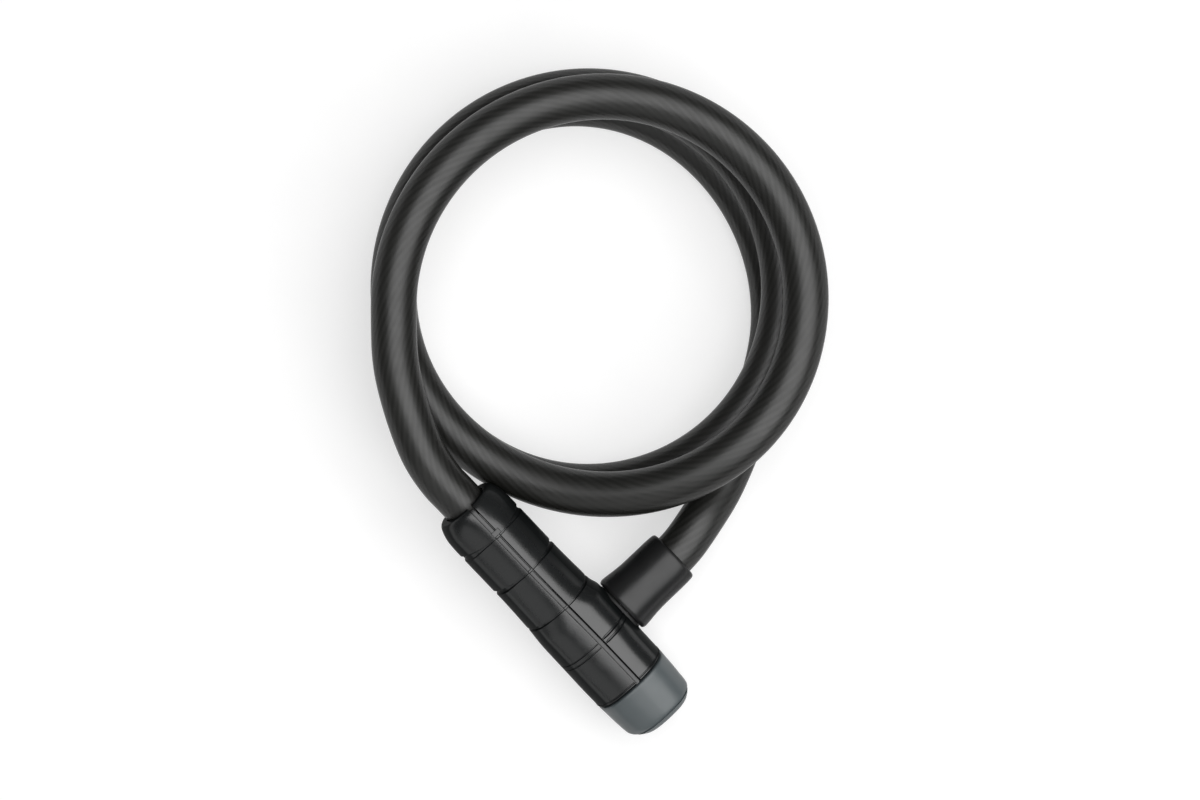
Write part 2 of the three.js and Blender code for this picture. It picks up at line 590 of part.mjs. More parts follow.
function makeFerruleSleeve() {
  const bore = FERRULE_CORE_RADIUS + CLEAR;
  const mouth = CABLE_RADIUS + CLEAR;
  return turned([
    [FERRULE_START, BOLT_RADIUS + CLEAR], ...FERRULE_OUTLINE,
    [FERRULE_END, mouth], [FERRULE_MOUTH, mouth], [FERRULE_MOUTH, bore],
    [FERRULE_FLOOR, bore], [FERRULE_FLOOR, BOLT_RADIUS + CLEAR],
    [FERRULE_START, BOLT_RADIUS + CLEAR],
  ], ROUND);
}

function makeFerruleCore() {
  const [start, end] = [FERRULE_FLOOR + CLEAR, FERRULE_MOUTH - CLEAR];
  const tube = rod(start, end, FERRULE_CORE_RADIUS);
  const bolt = rod(start - 1, BOLT_SHANK_END + CLEAR, BOLT_RADIUS + CLEAR, SMALL_ROUND);
  const strand = rod(BOLT_SHANK_END, end + 1, STRAND_RADIUS + CLEAR, SMALL_ROUND);
  const pin = crossRod('z', FERRULE_PIN_AT, -20, 20, FERRULE_PIN_RADIUS + CLEAR);
  return cut(tube, bolt, strand, pin);
}

// ---------------------------------------------------------------- cable

const ease = (share) => (1 - Math.cos(Math.PI * THREE.MathUtils.clamp(share, 0, 1))) / 2;
const easeOver = ([start, end], at) => ease((at - start) / (end - start));

// Distance from the coil's middle to a turn, looked at along the clockwise angle.
function turnRadius(turn, angle) {
  const [ux, uy] = [Math.cos(degrees(angle)), -Math.sin(degrees(angle))];
  const shift = turn.x * ux + turn.y * uy;
  const across = turn.x ** 2 + turn.y ** 2 - shift ** 2;
  const growth = (turn.growth * (angle - turn.middle)) / 360;
  const twice = degrees(2 * angle);
  const outOfRound = turn.oval * Math.cos(twice) + turn.lean * Math.sin(twice);
  return shift + Math.sqrt(turn.radius ** 2 - across) + growth + outOfRound;
}

function coilPoint(angle) {
  let radius = turnRadius(TURNS[0], angle);
  TURN_BLENDS.forEach((blend, i) => {
    const share = easeOver(blend, angle);
    radius = (1 - share) * radius + share * turnRadius(TURNS[i + 1], angle);
  });
  const layers = CLIMBS.reduce((left, climb) => left - easeOver(climb, angle), CLIMBS.length);
  return new THREE.Vector3(
    radius * Math.cos(degrees(angle)), -radius * Math.sin(degrees(angle)),
    SURFACE_TO_CORE + layers * LAYER_STEP,
  );
}

// A tube whose sides keep level: one side always looks straight down.
function cableAlong(points) {
  const up = new THREE.Vector3(0, 0, 1);
  const rings = points.map(({ place, tangent }) => {
    const across = new THREE.Vector3().crossVectors(tangent, up).normalize();
    const raised = new THREE.Vector3().crossVectors(across, tangent).normalize();
    return Array.from({ length: CABLE_SIDES }, (_, side) => {
      const angle = (2 * Math.PI * (side + 0.5)) / CABLE_SIDES + Math.PI / 2;
      return place.clone()
        .addScaledVector(across, CABLE_RADIUS * Math.cos(angle))
        .addScaledVector(raised, CABLE_RADIUS * Math.sin(angle));
    });
  });
  return skinOver(rings);
}

// ---------------------------------------------------------------- assembly

const model = new THREE.Group();
const lock = new THREE.Group();
const ferrule = new THREE.Group();
model.add(lock);
lock.add(ferrule);
lock.rotation.set(-degrees(BODY_ROLL), degrees(BODY_PITCH), -degrees(BODY_YAW), 'ZYX');
lock.position.set(CABLE_END.x, CABLE_END.y, 0);
ferrule.rotation.z = Math.PI / 2;
ferrule.position.x = SOCKET_AT;

function add(parent, name, geometry, look) {
  const mesh = new THREE.Mesh(closed(geometry), look);
  mesh.name = name;
  parent.add(mesh);
  return mesh;
}

const casing = makeCasing();
add(lock, 'casing_left', casing.left, SHELL_PLASTIC);
add(lock, 'casing_right', casing.right, SHELL_PLASTIC);
add(lock, 'carrier_tube', makeCarrier(), CARRIER_PLASTIC);
add(lock, 'cable_anchor', makeAnchor(), STEEL);
add(lock, 'anchor_pin', crossRod('z', ANCHOR_PIN_AT, -CORE_RADIUS, CORE_RADIUS, ANCHOR_PIN_RADIUS), STEEL);
add(lock, 'anchor_strand', rod(
  ANCHOR_START, ANCHOR_START + STRAND_LENGTH, STRAND_RADIUS, SMALL_ROUND,
), STEEL);
add(lock, 'core_housing', makeCore(), ZINC);
add(lock, 'latch', makeLatch(), STEEL);
add(lock, 'latch_cover', makeLatchCover(), ZINC);
add(lock, 'key_plug', makePlug(), BRASS);
waferPlaces().forEach((at, i) => add(lock, `wafer_${i + 1}`, makeWafer(at), BRASS));
add(lock, 'plug_clip', makeClip(), STEEL);
add(lock, 'end_cap', makeCap(), CAP_PLASTIC);
add(lock, 'keyhole_cover', makeKeyholeCover(), CAP_PLASTIC);

const seal = add(lock, 'socket_seal', makeSeal(), RUBBER);
seal.rotation.z = Math.PI / 2;
seal.position.x = SOCKET_AT;

add(ferrule, 'ferrule_bolt', makeBolt(), STEEL);
add(ferrule, 'ferrule_core', makeFerruleCore(), STEEL);
add(ferrule, 'ferrule_pin', crossRod(
  'z', FERRULE_PIN_AT, -FERRULE_CORE_RADIUS, FERRULE_CORE_RADIUS, FERRULE_PIN_RADIUS,
), STEEL);
add(ferrule, 'ferrule_strand', rod(
  BOLT_SHANK_END + 2 * CLEAR, FERRULE_MOUTH - CLEAR, STRAND_RADIUS, SMALL_ROUND,
), STEEL);
add(ferrule, 'ferrule_sleeve', makeFerruleSleeve(), FERRULE_PLASTIC);

// The body is let down until it touches the surface.
lock.updateMatrixWorld(true);
lock.position.z -= new THREE.Box3().setFromObject(lock, true).min.z;
model.updateMatrixWorld(true);

// The cable leaves the body straight, joins the coil, and comes in straight to the ferrule.
const inBody = (x) => lock.localToWorld(new THREE.Vector3(x, 0, 0));
const inFerrule = (x) => ferrule.localToWorld(new THREE.Vector3(x, 0, 0));
const coilSteps = Math.round(((COIL_END - COIL_START) / 360) * STEPS_PER_TURN);
const coilAngles = Array.from(
  { length: coilSteps + 1 }, (_, step) => COIL_START + (step * 360) / STEPS_PER_TURN,
);
const route = new THREE.CatmullRomCurve3([
  inBody(CABLE_SEAT), inBody(0), ...LOCK_EXIT.map((length) => inBody(-length)),
  ...LOCK_LEAD.map(([x, y, z]) => new THREE.Vector3(x, y, z)),
  ...coilAngles.map(coilPoint),
  ...FERRULE_LEAD.map(([x, y, z]) => new THREE.Vector3(x, y, z)),
  ...FERRULE_APPROACH.map(([x, y, z]) => ferrule.localToWorld(new THREE.Vector3(FERRULE_END + x, y, z))),
  inFerrule(FERRULE_END), inFerrule(FERRULE_MOUTH),
], false, 'centripetal');
route.arcLengthDivisions = ROUTE_DIVISIONS;
const routeLength = route.getLength();

// Share of the route's length at its control point with this number.
function shareAtPoint(number) {
  const lengths = route.getLengths();
  const place = (number / (route.points.length - 1)) * ROUTE_DIVISIONS;
  const low = Math.floor(place);
  const high = Math.min(low + 1, ROUTE_DIVISIONS);
  return (lengths[low] + (place - low) * (lengths[high] - lengths[low])) / routeLength;
}

// Evenly spaced stations of the route, none of them lower than the cable lies on the surface.
function stretch(start, end, step) {
  const steps = Math.max(2, Math.round(((end - start) * routeLength) / step));
  return Array.from({ length: steps + 1 }, (_, i) => {
    const share = start + ((end - start) * i) / steps;
    const place = route.getPointAt(share);
    place.z = Math.max(place.z, SURFACE_TO_CORE);
    return { place, tangent: route.getTangentAt(share) };
  });
}

const leadPoints = 2 + LOCK_EXIT.length + LOCK_LEAD.length;
const coilStarts = shareAtPoint(leadPoints);
const coilEnds = shareAtPoint(leadPoints + coilSteps - STEPS_TO_LEAD);
const gapShare = CLEAR / routeLength;
const coilStep = ((coilEnds - coilStarts) * routeLength) / (coilSteps - STEPS_TO_LEAD);
const lockLead = stretch(0, coilStarts - gapShare, LEAD_STEP);
const coil = stretch(coilStarts, coilEnds, coilStep);
const ferruleLead = stretch(coilEnds + gapShare, 1, LEAD_STEP);

add(model, 'cable_lock_lead', cableAlong(lockLead), SHEATH);
add(model, 'cable_coil', cableAlong(coil), SHEATH);
add(model, 'cable_ferrule_lead', cableAlong(ferruleLead), SHEATH);

// The least gap of the whole cable to itself, between points more than a loop's bend apart.
function leastGap() {
  const samples = stretch(0, 1, 1.5).map(({ place }) => place);
  const apart = Math.ceil((5 * CABLE_RADIUS) / 1.5);
  let least = Infinity;
  for (let i = 0; i < samples.length; i += 1) {
    for (let j = i + apart; j < samples.length; j += 1) {
      least = Math.min(least, samples[i].distanceTo(samples[j]));
    }
  }
  return least - 2 * CABLE_RADIUS;
}
console.log(`cable length ${routeLength.toFixed(1)} mm, least gap to itself ${leastGap().toFixed(2)} mm`);

// The origin goes to the middle of the footprint of everything but the cable.
const footprint = new THREE.Box3().setFromObject(lock, true);
const middle = footprint.getCenter(new THREE.Vector3());
model.position.set(-middle.x, -middle.y, 0);

export default model;
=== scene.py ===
# A keyed cable lock, lying coiled on a pale floor, with the looks of its plastic, cable and metal.
# Places are in metres, in the frame of the model. Shapes are written in millimetres.

import json
import math

import bmesh
import bpy
import numpy as np
from mathutils import Matrix, Vector


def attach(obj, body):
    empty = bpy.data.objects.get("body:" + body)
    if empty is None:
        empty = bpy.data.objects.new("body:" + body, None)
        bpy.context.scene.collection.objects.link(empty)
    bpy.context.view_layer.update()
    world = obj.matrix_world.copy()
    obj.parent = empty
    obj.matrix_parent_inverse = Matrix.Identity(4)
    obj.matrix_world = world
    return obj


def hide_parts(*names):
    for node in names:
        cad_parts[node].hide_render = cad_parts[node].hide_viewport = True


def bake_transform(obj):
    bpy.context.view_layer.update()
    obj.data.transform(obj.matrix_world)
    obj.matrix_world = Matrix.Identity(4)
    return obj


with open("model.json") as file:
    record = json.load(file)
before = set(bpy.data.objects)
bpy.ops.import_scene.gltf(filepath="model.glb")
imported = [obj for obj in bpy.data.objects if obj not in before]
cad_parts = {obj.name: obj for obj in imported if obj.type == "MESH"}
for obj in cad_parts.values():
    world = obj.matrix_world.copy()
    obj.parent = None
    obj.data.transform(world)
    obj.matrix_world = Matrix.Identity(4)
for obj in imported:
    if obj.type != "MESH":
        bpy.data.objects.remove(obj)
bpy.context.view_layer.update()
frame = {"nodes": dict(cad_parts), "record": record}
MM = 0.001

# ---------------------------------------------------------------- where the lock lies

BODY_YAW = 47.1
BODY_PITCH = 12.5
BODY_ROLL = 3.0
CABLE_END = np.array((-33.7264, 34.9858, 33.1657))
COIL_MIDDLE = np.array((10.7536, 105.2658, 0.0))
SOCKET_AT = 61.55

LOCK_TURN = np.array(
    (
        Matrix.Rotation(math.radians(-BODY_YAW), 3, "Z")
        @ Matrix.Rotation(math.radians(BODY_PITCH), 3, "Y")
        @ Matrix.Rotation(math.radians(-BODY_ROLL), 3, "X")
    )
)


def in_body(points):
    """Row-frame millimetres of points given along, outwards and upwards in the lock body."""
    return np.asarray(points, float) @ LOCK_TURN.T + CABLE_END


def in_ferrule(points):
    """The same for points given along the bolt, towards the cable end and upwards."""
    p = np.asarray(points, float)
    return in_body(np.stack([SOCKET_AT - p[..., 1], p[..., 0], p[..., 2]], -1))


# ---------------------------------------------------------------- camera

CAMERA_HEIGHT = 1100.0
CAMERA_SHIFT = -36.0
camera = bpy.data.objects.new("camera", bpy.data.cameras.new("camera"))
camera.data.lens = 97.59
camera.data.sensor_width = 36.0
camera.data.clip_end = 60.0
camera.location = (COIL_MIDDLE + (0, CAMERA_SHIFT, CAMERA_HEIGHT)) * MM
bpy.context.collection.objects.link(camera)
bpy.context.scene.camera = camera
bpy.context.scene.view_settings.view_transform = "Standard"

# ---------------------------------------------------------------- mesh helpers


def smooth_over(piece, sharp):
    """Smooth shading, but for edges sharper than an angle in degrees."""
    piece.data.shade_smooth()
    piece.data.set_sharp_from_angle(angle=math.radians(sharp))


def mesh_object(name, points, faces, sharp):
    """A piece from points in row-frame millimetres."""
    mesh = bpy.data.meshes.new(name)
    mesh.from_pydata([tuple(p) for p in np.asarray(points, float) * MM], [], faces)
    mesh.validate()
    piece = bpy.data.objects.new(name, mesh)
    bpy.context.collection.objects.link(piece)
    smooth_over(piece, sharp)
    return piece


def tidy_mesh(piece, sharp):
    """Joins doubled points, drops empty faces, and turns every face outwards."""
    work = bmesh.new()
    work.from_mesh(piece.data)
    bmesh.ops.remove_doubles(work, verts=work.verts, dist=2e-6)
    bmesh.ops.dissolve_degenerate(work, edges=work.edges, dist=1e-7)
    bmesh.ops.recalc_face_normals(work, faces=work.faces)
    work.to_mesh(piece.data)
    work.free()
    smooth_over(piece, sharp)


def grid_faces(rows, columns, wrap):
    """Faces over rows of points; wrap joins the last column to the first."""
    faces = []
    for low in range(0, (rows - 1) * columns, columns):
        high = low + columns
        for column in range(columns if wrap else columns - 1):
            right = (column + 1) % columns
            faces.append((low + column, low + right, high + right, high + column))
    return faces


def lofted(name, points, columns, sharp):
    """A closed bar through cross-sections of that many points each."""
    rows = len(points) // columns
    last = (rows - 1) * columns
    faces = grid_faces(rows, columns, True)
    faces += [tuple(range(columns)), tuple(range(last, last + columns))]
    piece = mesh_object(name, points, faces, sharp)
    tidy_mesh(piece, sharp)
    return piece


def smooth_profile(corners, rounds, steps=4):
    """A list of points through corners, with the corners numbered in rounds cut by an arc."""
    out = []
    for i, corner in enumerate(corners):
        if i not in rounds:
            out.append(corner)
            continue
        here = np.array(corner, float)
        before = np.array(corners[i - 1], float) - here
        after = np.array(corners[(i + 1) % len(corners)], float) - here
        size = min(rounds[i], 0.49 * np.linalg.norm(before), 0.49 * np.linalg.norm(after))
        start = here + before / np.linalg.norm(before) * size
        end = here + after / np.linalg.norm(after) * size
        for k in range(steps + 1):
            t = k / steps
            out.append(tuple((1 - t) ** 2 * start + 2 * t * (1 - t) * here + t * t * end))
    return out


def turned(name, profile, place, sides, sharp=35.0, reach=None):
    """A solid turned about x. A station of its profile is (along, radius) or (along, radius, shift).

    The function reach, if given, scales the radius of a station at each angle.
    """
    angles = np.arange(sides) * 2 * math.pi / sides
    points = []
    for at, radius, *shift in profile:
        across = radius * (reach(at, radius, angles) if reach else np.ones(sides))
        middle = shift[0] if shift else 0.0
        ring = [np.full(sides, at), middle + across * np.cos(angles), across * np.sin(angles)]
        points.extend(np.stack(ring, -1))
    faces = grid_faces(len(profile), sides, True)
    is_ring = profile[0][1] > 0.01
    if is_ring:
        last = (len(profile) - 1) * sides
        for k in range(sides):
            n = (k + 1) % sides
            faces.append((last + k, last + n, n, k))
    piece = mesh_object(name, place(points), faces, sharp)
    tidy_mesh(piece, sharp)
    return piece


def cut_from(piece, cutter):
    """Cuts a solid out of a piece, and takes the cutter away."""
    step = piece.modifiers.new("cut", "BOOLEAN")
    step.operation = "DIFFERENCE"
    step.object = cutter
    step.solver = "EXACT"
    bpy.context.view_layer.update()
    done = piece.evaluated_get(bpy.context.evaluated_depsgraph_get())
    mesh = bpy.data.meshes.new_from_object(done)
    piece.modifiers.clear()
    piece.data = mesh
    bpy.data.objects.remove(cutter)


def along(outline, at):
    """Value of an outline of (along, value) points at a place along it."""
    return np.interp(at, [row[0] for row in outline], [row[1] for row in outline])


def step_up(low, high, at):
    """Rises smoothly from 0 at low to 1 at high."""
    t = np.clip((at - low) / (high - low), 0, 1)
    return t * t * (3 - 2 * t)


# ---------------------------------------------------------------- the cable's route

CABLE_RADIUS = 7.5
CABLE_SIDES = 56
# Length of cable that is one unit of its UV map
LAY_UNIT = 100.0
CABLE_SEAT = 4.0
FERRULE_END = 39.0
FERRULE_MOUTH = FERRULE_END - CABLE_SEAT + 1
# The turns of the coil from the top one down: a circle's middle and radius, how it widens in a
# full turn, counted from an angle, and how far it is out of round
TURNS = (
    dict(x=1.5, y=-4.44, radius=66.84, growth=-6.09, middle=300, oval=-0.14, lean=-0.34),
    dict(x=-3.64, y=0.73, radius=65.09, growth=-0.8, middle=640, oval=-0.47, lean=0.12),
    dict(x=-5.87, y=-3.47, radius=65.16, growth=-0.66, middle=1040, oval=-1.32, lean=1.45),
)
# Angles between which a turn becomes the next one, and between which the cable steps down
TURN_BLENDS = ((380, 520), (780, 980))
CLIMBS = ((398, 490), (758, 850))
LAYER_STEP = 15.75
# The solid cable has twelve sides and lies on one of them
LOWEST_LAYER = CABLE_RADIUS * math.cos(math.radians(15))
COIL_START = 172
COIL_STEP = 10
COIL_POINTS = 94
# Points of the two leads, from the middle of the coil, and of the approach, from the ferrule
LOCK_LEAD = ((-58.2, -52.3, 37.2), (-66.1, -27, 39))
FERRULE_LEAD = ((52, -37.5, 7.4), (46.1, -52.5, 7.9))
FERRULE_APPROACH = ((26.35, 3.9, -6.19), (14.48, 1.9, -1.83), (5, 0.35, -0.25))


def ease(share):
    """Rises from 0 to 1 as half a wave."""
    return (1 - math.cos(math.pi * min(max(share, 0.0), 1.0))) / 2


def turn_radius(turn, angle):
    """How far one turn of the coil lies from the coil's middle, at an angle clockwise from +X."""
    ux, uy = math.cos(math.radians(angle)), -math.sin(math.radians(angle))
    shift = turn["x"] * ux + turn["y"] * uy
    across = turn["x"] ** 2 + turn["y"] ** 2 - shift**2
    growth = turn["growth"] * (angle - turn["middle"]) / 360
    twice = math.radians(2 * angle)
    out_of_round = turn["oval"] * math.cos(twice) + turn["lean"] * math.sin(twice)
    return shift + math.sqrt(turn["radius"] ** 2 - across) + growth + out_of_round


def coil_point(angle):
    """A point of the coil's line; its three turns blend into each other and step down in layers."""
    radius = turn_radius(TURNS[0], angle)
    for turn, (start, end) in zip(TURNS[1:], TURN_BLENDS):
        share = ease((angle - start) / (end - start))
        radius = (1 - share) * radius + share * turn_radius(turn, angle)
    layers = len(CLIMBS) - sum(ease((angle - start) / (end - start)) for start, end in CLIMBS)
    bearing = math.radians(angle)
    height = LOWEST_LAYER + layers * LAYER_STEP
    return (radius * math.cos(bearing), -radius * math.sin(bearing), height)


def curve_through(points, steps):
    """Fine points on the centripetal curve through points, no lower than a cable on the floor."""
    p = np.asarray(points, float)
    p = np.vstack([2 * p[0] - p[1], p, 2 * p[-1] - p[-2]])
    out = []
    for i in range(1, len(p) - 2):
        a, b, c, d = p[i - 1], p[i], p[i + 1], p[i + 2]
        ab, bc, cd = (np.linalg.norm(v) ** 0.5 for v in (b - a, c - b, d - c))
        t1 = ((b - a) / ab - (c - a) / (ab + bc) + (c - b) / bc) * bc
        t2 = ((c - b) / bc - (d - b) / (bc + cd) + (d - c) / cd) * bc
        for k in range(steps):
            t = k / steps
            out.append(
                (2 * t**3 - 3 * t**2 + 1) * b
                + (t**3 - 2 * t**2 + t) * t1
                + (-2 * t**3 + 3 * t**2) * c
                + (t**3 - t**2) * t2
            )
    out.append(p[-2])
    line = np.array(out)
    line[:, 2] = np.maximum(line[:, 2], CABLE_RADIUS)
    return line


def lengths_along(line):
    """Length of a line from its start to each of its points."""
    steps = np.linalg.norm(np.diff(line, axis=0), axis=1)
    return np.concatenate([[0], np.cumsum(steps)])


def evenly(line, step):
    """Points along a line at an even spacing of about step, and the line's length."""
    lengths = lengths_along(line)
    count = max(2, int(round(lengths[-1] / step)))
    at = np.linspace(0, lengths[-1], count + 1)
    return np.stack([np.interp(at, lengths, line[:, k]) for k in range(3)], -1), lengths[-1]


coil_line = [coil_point(COIL_START + COIL_STEP * i) for i in range(COIL_POINTS)]
controls = np.vstack(
    [
        in_body([(4, 0, 0), (0, 0, 0), (-5.5, 0, 0), (-11, 0, 0)]),
        np.array(LOCK_LEAD) + COIL_MIDDLE,
        np.array(coil_line) + COIL_MIDDLE,
        np.array(FERRULE_LEAD) + COIL_MIDDLE,
        in_ferrule([(FERRULE_END + x, y, z) for x, y, z in FERRULE_APPROACH]),
        in_ferrule([(FERRULE_END, 0, 0), (FERRULE_MOUTH, 0, 0)]),
    ]
)
# The main cord ends at this control point, and the one that leads to the ferrule starts there
COIL_ENDS = 96
STEPS = 24
MAIN_SPACING = 1.8
LEAD_SPACING = 1.2
route = curve_through(controls, STEPS)
main_line, main_length = evenly(route[: COIL_ENDS * STEPS + 1], MAIN_SPACING)
lead_line, lead_length = evenly(route[COIL_ENDS * STEPS :], LEAD_SPACING)


def cable_tube(name, line, started=0.0):
    """A tube round a line, closed at both ends.

    Its UV map is the length from the lock, in units of LAY_UNIT, and the share of a turn round it.
    """
    rows, sides = len(line), CABLE_SIDES
    tangent = np.gradient(line, axis=0)
    tangent /= np.linalg.norm(tangent, axis=1)[:, None]
    across = np.cross(tangent, (0, 0, 1.0))
    across /= np.linalg.norm(across, axis=1)[:, None]
    raised = np.cross(across, tangent)
    angles = (np.arange(sides) + 0.5) * 2 * math.pi / sides
    rings = (
        line[:, None, :]
        + CABLE_RADIUS * np.cos(angles)[None, :, None] * across[:, None, :]
        + CABLE_RADIUS * np.sin(angles)[None, :, None] * raised[:, None, :]
    )
    faces = grid_faces(rows, sides, True)
    faces.append(tuple(range(sides))[::-1])
    faces.append(tuple((rows - 1) * sides + k for k in range(sides)))
    piece = mesh_object(name, rings.reshape(-1, 3), faces, 50.0)
    lengths = (started + lengths_along(line)) / LAY_UNIT
    layer = piece.data.uv_layers.new(name="lay")
    for face in piece.data.polygons:
        closes_ring = len(face.vertices) == 4 and any(v % sides == sides - 1 for v in face.vertices)
        for loop, vertex in zip(face.loop_indices, face.vertices):
            row, side = divmod(vertex, sides)
            turn = 1.0 if side == 0 and closes_ring else side / sides
            layer.data[loop].uv = (lengths[row], turn)
    return piece


cable = cable_tube("cable", main_line)
lead = cable_tube("cable_end", lead_line, main_length)

# ---------------------------------------------------------------- casing

CASING_LENGTH = 81.0
CASING_OUTLINE = (
    (0, 10.1), (0.25, 10.4), (0.6, 10.75), (1.2, 11.1), (2, 11.45), (3, 11.8), (4, 12.07),
    (5, 12.27), (6, 12.4), (8, 12.52), (10, 12.58), (26, 12.58), (32, 12.56), (36, 12.65),
    (40, 12.78), (43, 12.92), (45.23, 12.95), (47, 13.1), (49, 13.28), (52, 13.56), (54, 13.64),
    (60, 13.72), (66, 13.8), (70, 13.88), (74, 13.92), (78, 13.88), (81, 13.85),
)
# A pressed ring is a narrow line on top and a wider trough at the sides.
RINGS = (
    dict(line=12.75, half=0.36, depth=0.45, side_start=11.5, side_end=14.1, side_depth=0.55),
    dict(line=28.6, half=0.36, depth=0.5, side_start=27.7, side_end=29.7, side_depth=1.0),
    dict(line=45.7, half=0.36, depth=0.5, side_start=44.8, side_end=46.2, side_depth=0.85),
)
# Two lines round the body, wider and deeper by BAND_EXTRA on the right shell
BAND = (61.8, 63.5)
BAND_WIDTH = 0.4
BAND_DEPTH = 0.35
BAND_EXTRA = 0.35
END_LIP = 79.9
END_LIP_WIDTH = 0.4
END_LIP_DEPTH = 0.25
END_RISE = 0.1
END_ROUND = 0.5
# The tab over the seam: its start and end, its section, and how far it is rolled to the right
TAB = (10.5, 12.35)
TAB_ACROSS = (-1.5, -1.35, -0.45, 0.45, 1.45, 1.6)
TAB_HEIGHT = 0.16
TAB_EDGE = 0.12
TAB_FOOT = 11.9
TAB_ROLL = math.radians(2.2)
# The flat lies this far out, and reaches to where the cosine of the angle falls to FLAT_FACES
FLAT_SIDE = 14.1
FLAT_FACES = 0.2
SOCKET_RADIUS = 7.3
# The swelling round the socket, and where it rises and falls off
FLARE = 0.75
FLARE_START = (46.85, 51.35)
FLARE_END = (64.0, 73.5)
# How far the edges of the half shells lie from the middle of the seam
LEFT_EDGE = ((40, 0.88), (55, 0.97))
RIGHT_EDGE = ((40, 1.08), (55, 0.93))
LEFT_HOLLOW = 0.3
RIGHT_HOLLOW = 0.4
# Rounding of the shells' edges, 1 for the one towards the socket, and the steps of their inside
SHELL_EDGE = {1: 0.16, -1: 0.1}
SHELL_BORE = ((0, 7.85), (3, 7.85), (3, 9.9), (35.25, 9.9), (35.25, 10.9), (CASING_LENGTH, 10.9))
SEAM_ANGLE = 87.0
SEAM_DRIFT = 2.6
# How far the power of a section rises above 2, a circle, and what is left of that underneath
SQUARE_RIGHT = 0.65
SQUARE_LEFT = 0.4
SQUARE_BELOW = 0.2
# The strip in the seam: its two sides, its start and end, and how deep it stands in the body
STRIP = (-0.86, 0.74)
STRIP_STARTS = 0.9
STRIP_ENDS = 80.7
STRIP_FOOT = 10.2


def outline_at(at):
    """Outer radius of the casing, with the corners of its outline eased."""
    at = np.asarray(at, float)
    reach = np.minimum(1.0, 0.4 * at)
    return sum(along(CASING_OUTLINE, at + share * reach) for share in np.linspace(-1, 1, 9)) / 9


def squared_reach(angle, right, left, tall=1.0):
    """A section of width 1 and height tall, squarer above than below."""
    power = np.where(np.cos(angle) > 0, right, left)
    power = 2 + (power - 2) * np.where(np.sin(angle) < 0, SQUARE_BELOW, 1.0)
    return (np.abs(np.cos(angle)) ** power + np.abs(np.sin(angle) / tall) ** power) ** (-1 / power)


def squared(at, angle):
    """How much further out a squared section reaches than a round one of the same width."""
    share = float(step_up(43, 52, at))
    return squared_reach(angle, 2 + SQUARE_RIGHT * share, 2 + SQUARE_LEFT * share)


def seam_at(at):
    """Angle of the upper seam: 0 is towards the socket and 90 degrees straight up."""
    return math.radians(SEAM_ANGLE - SEAM_DRIFT * float(step_up(25, 65, at)))


def crease(distance, width, depth):
    """A narrow soft line pressed into the surface."""
    return -depth * np.exp(-((distance / (width / 2)) ** 4))


def pressed_ring(at, side, ring):
    """Change of radius at one ring; side is 0 on top and 1 at the sides."""
    middle = (1 - side) * ring["line"] + side * (ring["side_start"] + ring["side_end"]) / 2
    reach = (1 - side) * ring["half"] + side * (ring["side_end"] - ring["side_start"]) / 2
    depth = (1 - side) * ring["depth"] + side * ring["side_depth"]
    return -depth * (1 - step_up(0.5, 1.0, np.abs(at - middle) / reach))


def band_lines(at, angle):
    """Change of radius at the two lines of the band."""
    facing = np.cos(angle)
    extra = BAND_EXTRA * step_up(0.15, 0.3, facing) * (1 - step_up(0.62, 0.72, facing))
    return sum(crease(at - line, BAND_WIDTH + extra, BAND_DEPTH + extra) for line in BAND)


def seam_dip(distance):
    """A very shallow hollow, 10 wide, beside the seam."""
    return np.sin(math.pi * np.clip(distance / 10, 0, 1))


def seam_hollows(at, from_seam):
    """The hollow along the left shell, and the one at the cable end of the right shell."""
    left = LEFT_HOLLOW * float(step_up(0, 6, at)) * seam_dip(from_seam - 0.9)
    right = RIGHT_HOLLOW * float(1 - step_up(4, 11, at)) * seam_dip(-from_seam - 1.0)
    return left + right


def flare(at, angle):
    """The swelling round the socket."""
    share = step_up(*FLARE_START, at) * (1 - step_up(*FLARE_END, at))
    return FLARE * share * np.maximum(0.01, np.cos(angle)) ** 2


def casing_radius(at, angle):
    """Outer radius of the casing at one place along it, for a row of angles."""
    radius = outline_at(at) * squared(at, angle)
    from_seam = angle - seam_at(at)
    side = step_up(0.35, 0.97, np.abs(np.sin(from_seam)))
    for ring in RINGS:
        radius = radius + pressed_ring(at, side, ring)
    radius = radius + band_lines(at, angle)
    radius = radius + crease(at - END_LIP, END_LIP_WIDTH, END_LIP_DEPTH)
    radius = radius + END_RISE * step_up(80.1, 80.35, at)
    radius = radius - seam_hollows(at, radius * np.sin(from_seam)) * (np.cos(from_seam) > 0)
    return radius + flare(at, angle)


def flat_side(angle):
    """Where a ray from the axis meets the flat that faces the ferrule."""
    return FLAT_SIDE / np.maximum(np.cos(angle), FLAT_FACES)


def shell_angles(at, radius, side, share):
    """Angles from the upper seam to the lower one, round one half shell."""
    edge = along(RIGHT_EDGE if side > 0 else LEFT_EDGE, at)
    turn = math.asin(edge / radius)
    top = seam_at(at) - side * turn
    return top + side * (2 * turn - math.pi) * share


